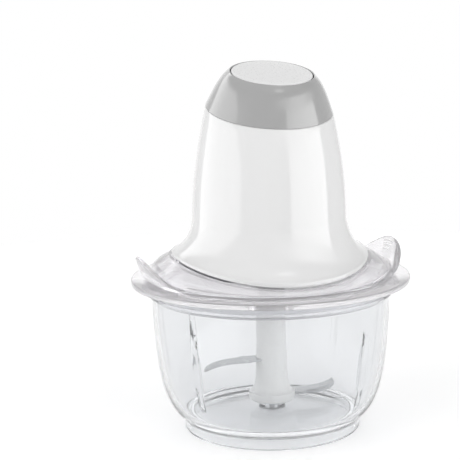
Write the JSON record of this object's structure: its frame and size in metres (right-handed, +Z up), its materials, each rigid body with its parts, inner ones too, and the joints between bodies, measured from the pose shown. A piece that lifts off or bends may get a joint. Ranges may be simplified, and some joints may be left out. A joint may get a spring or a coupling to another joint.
{
  "type": "mini food chopper",
  "caption": "Electric mini food chopper: clear bowl with a two-level blade, clear lid with finger wings and a bell-shaped motor unit with a slanted push button.",
  "frame": {"origin": "on the table under the middle of the bowl's foot ring", "axes": "+Z up along the drive axis, -Y to the front where the top slants down, +X to the right-hand finger wing"},
  "size_m": [0.15, 0.15, 0.197],
  "materials": {
    "clear_bowl": "clear, polished",
    "clear_lid": "clear, polished",
    "seal_silicone": "translucent silicone, satin",
    "polished_steel": "ground and polished",
    "white_hub": "moulded, satin",
    "blade_steel": "brushed along the blade, ground edge",
    "white_shell": "high gloss",
    "base_plastic": "satin",
    "grey_collar": "satin gloss",
    "white_button": "satin gloss",
    "grey_rubber": "matte",
    "zinc_screw": "zinc plated",
    "bronze": "sintered",
    "black_rubber": "matte",
    "dark_nylon": "glass filled, matte",
    "cast_carrier": "die cast",
    "pale_nylon": "moulded",
    "gear_brass": "machined",
    "lamination": "stacked sheets",
    "enamel_copper": "enamelled wire",
    "commutator_copper": "turned",
    "black_plastic": "moulded",
    "brown_plastic": "moulded",
    "carbon": "pressed carbon",
    "spring_steel": "bright wire",
    "board_plastic": "pressed sheet",
    "yellow_plastic": "moulded"
  },
  "bodies": {
    "bowl": {"bowl": "clear_bowl", "spindle_pin": "polished_steel"},
    "blade": {"blade_hub": "white_hub", "lower_blade": "blade_steel", "upper_blade": "blade_steel"},
    "lid": {"lid": "clear_lid", "lid_seal": "seal_silicone"},
    "motor_unit": {"motor_housing": "white_shell", "base_cover": "base_plastic", "base_screws": "zinc_screw", "top_collar": "grey_collar", "cord_gland": "grey_rubber", "output_bearing": "bronze", "shaft_seal": "black_rubber", "thrust_washer": "polished_steel", "gear_case": "dark_nylon", "gearbox_cover": "dark_nylon", "gearbox_screws": "zinc_screw", "lower_bearing": "bronze", "upper_bearing": "bronze", "stator_core": "lamination", "field_coils": "enamel_copper", "stator_bolts": "zinc_screw", "upper_bracket": "dark_nylon", "brush_holders": "brown_plastic", "carbon_brushes": "carbon", "brush_springs": "spring_steel", "switch_plate": "board_plastic", "plate_screws": "zinc_screw", "micro_switch": "black_plastic", "capacitor": "yellow_plastic", "button_spring": "spring_steel"},
    "button": {"power_button": "white_button", "button_plunger": "pale_nylon"},
    "switch_lever": {"switch_lever": "spring_steel"},
    "rotor": {"rotor_shaft": "polished_steel", "sun_pinion": "gear_brass", "armature_core": "lamination", "armature_windings": "enamel_copper", "commutator": "commutator_copper", "cooling_fan": "black_plastic"},
    "carrier": {"planet_carrier": "cast_carrier", "planet_pins": "polished_steel", "output_shaft": "polished_steel", "drive_coupling": "pale_nylon"},
    "planet_1": {"planet_gear_1": "pale_nylon"},
    "planet_2": {"planet_gear_2": "pale_nylon"},
    "planet_3": {"planet_gear_3": "pale_nylon"}
  },
  "joints": [
    {"name": "lid_lift", "type": "slide", "parent": "bowl", "child": "lid", "axis": [0, 0, 1], "range_m": [0, 0.12]},
    {"name": "motor_unit_lift", "type": "slide", "parent": "lid", "child": "motor_unit", "axis": [0, 0, 1], "range_m": [0, 0.12]},
    {"name": "button_press", "type": "slide", "parent": "motor_unit", "child": "button", "axis": [0, 0.2521, -0.9677], "range_m": [0, 0.003], "stiffness_N_per_m": 800, "springref_m": -0.002, "deforming": ["button_spring"]},
    {"name": "switch_lever_tilt", "type": "hinge", "parent": "motor_unit", "child": "switch_lever", "pos_m": [-0.012, -0.00558, 0.18165], "axis": [0, 0.9677, 0.2521], "range_deg": [0, 15]},
    {"name": "rotor_spin", "type": "hinge", "parent": "motor_unit", "child": "rotor", "pos_m": [0, 0, 0.1246], "axis": [0, 0, 1], "continuous": true},
    {"name": "carrier_spin", "type": "hinge", "parent": "motor_unit", "child": "carrier", "pos_m": [0, 0, 0.0915], "axis": [0, 0, 1], "continuous": true},
    {"name": "planet_1_spin", "type": "hinge", "parent": "carrier", "child": "planet_1", "pos_m": [0.015, 0, 0.0948], "axis": [0, 0, 1], "continuous": true},
    {"name": "planet_2_spin", "type": "hinge", "parent": "carrier", "child": "planet_2", "pos_m": [-0.0075, 0.01299, 0.0948], "axis": [0, 0, 1], "continuous": true},
    {"name": "planet_3_spin", "type": "hinge", "parent": "carrier", "child": "planet_3", "pos_m": [-0.0075, -0.01299, 0.0948], "axis": [0, 0, 1], "continuous": true},
    {"name": "blade_spin", "type": "hinge", "parent": "bowl", "child": "blade", "pos_m": [0, 0, 0.0133], "axis": [0, 0, 1], "continuous": true}
  ],
  "couplings": [
    {"joint": "switch_lever_tilt", "follows": "button_press", "rad_per_m": 84.227},
    {"joint": "carrier_spin", "follows": "rotor_spin", "ratio": 0.2},
    {"joint": "planet_1_spin", "follows": "rotor_spin", "ratio": -0.53333},
    {"joint": "planet_2_spin", "follows": "rotor_spin", "ratio": -0.53333},
    {"joint": "planet_3_spin", "follows": "rotor_spin", "ratio": -0.53333},
    {"joint": "blade_spin", "follows": "rotor_spin", "ratio": 0.2}
  ]
}
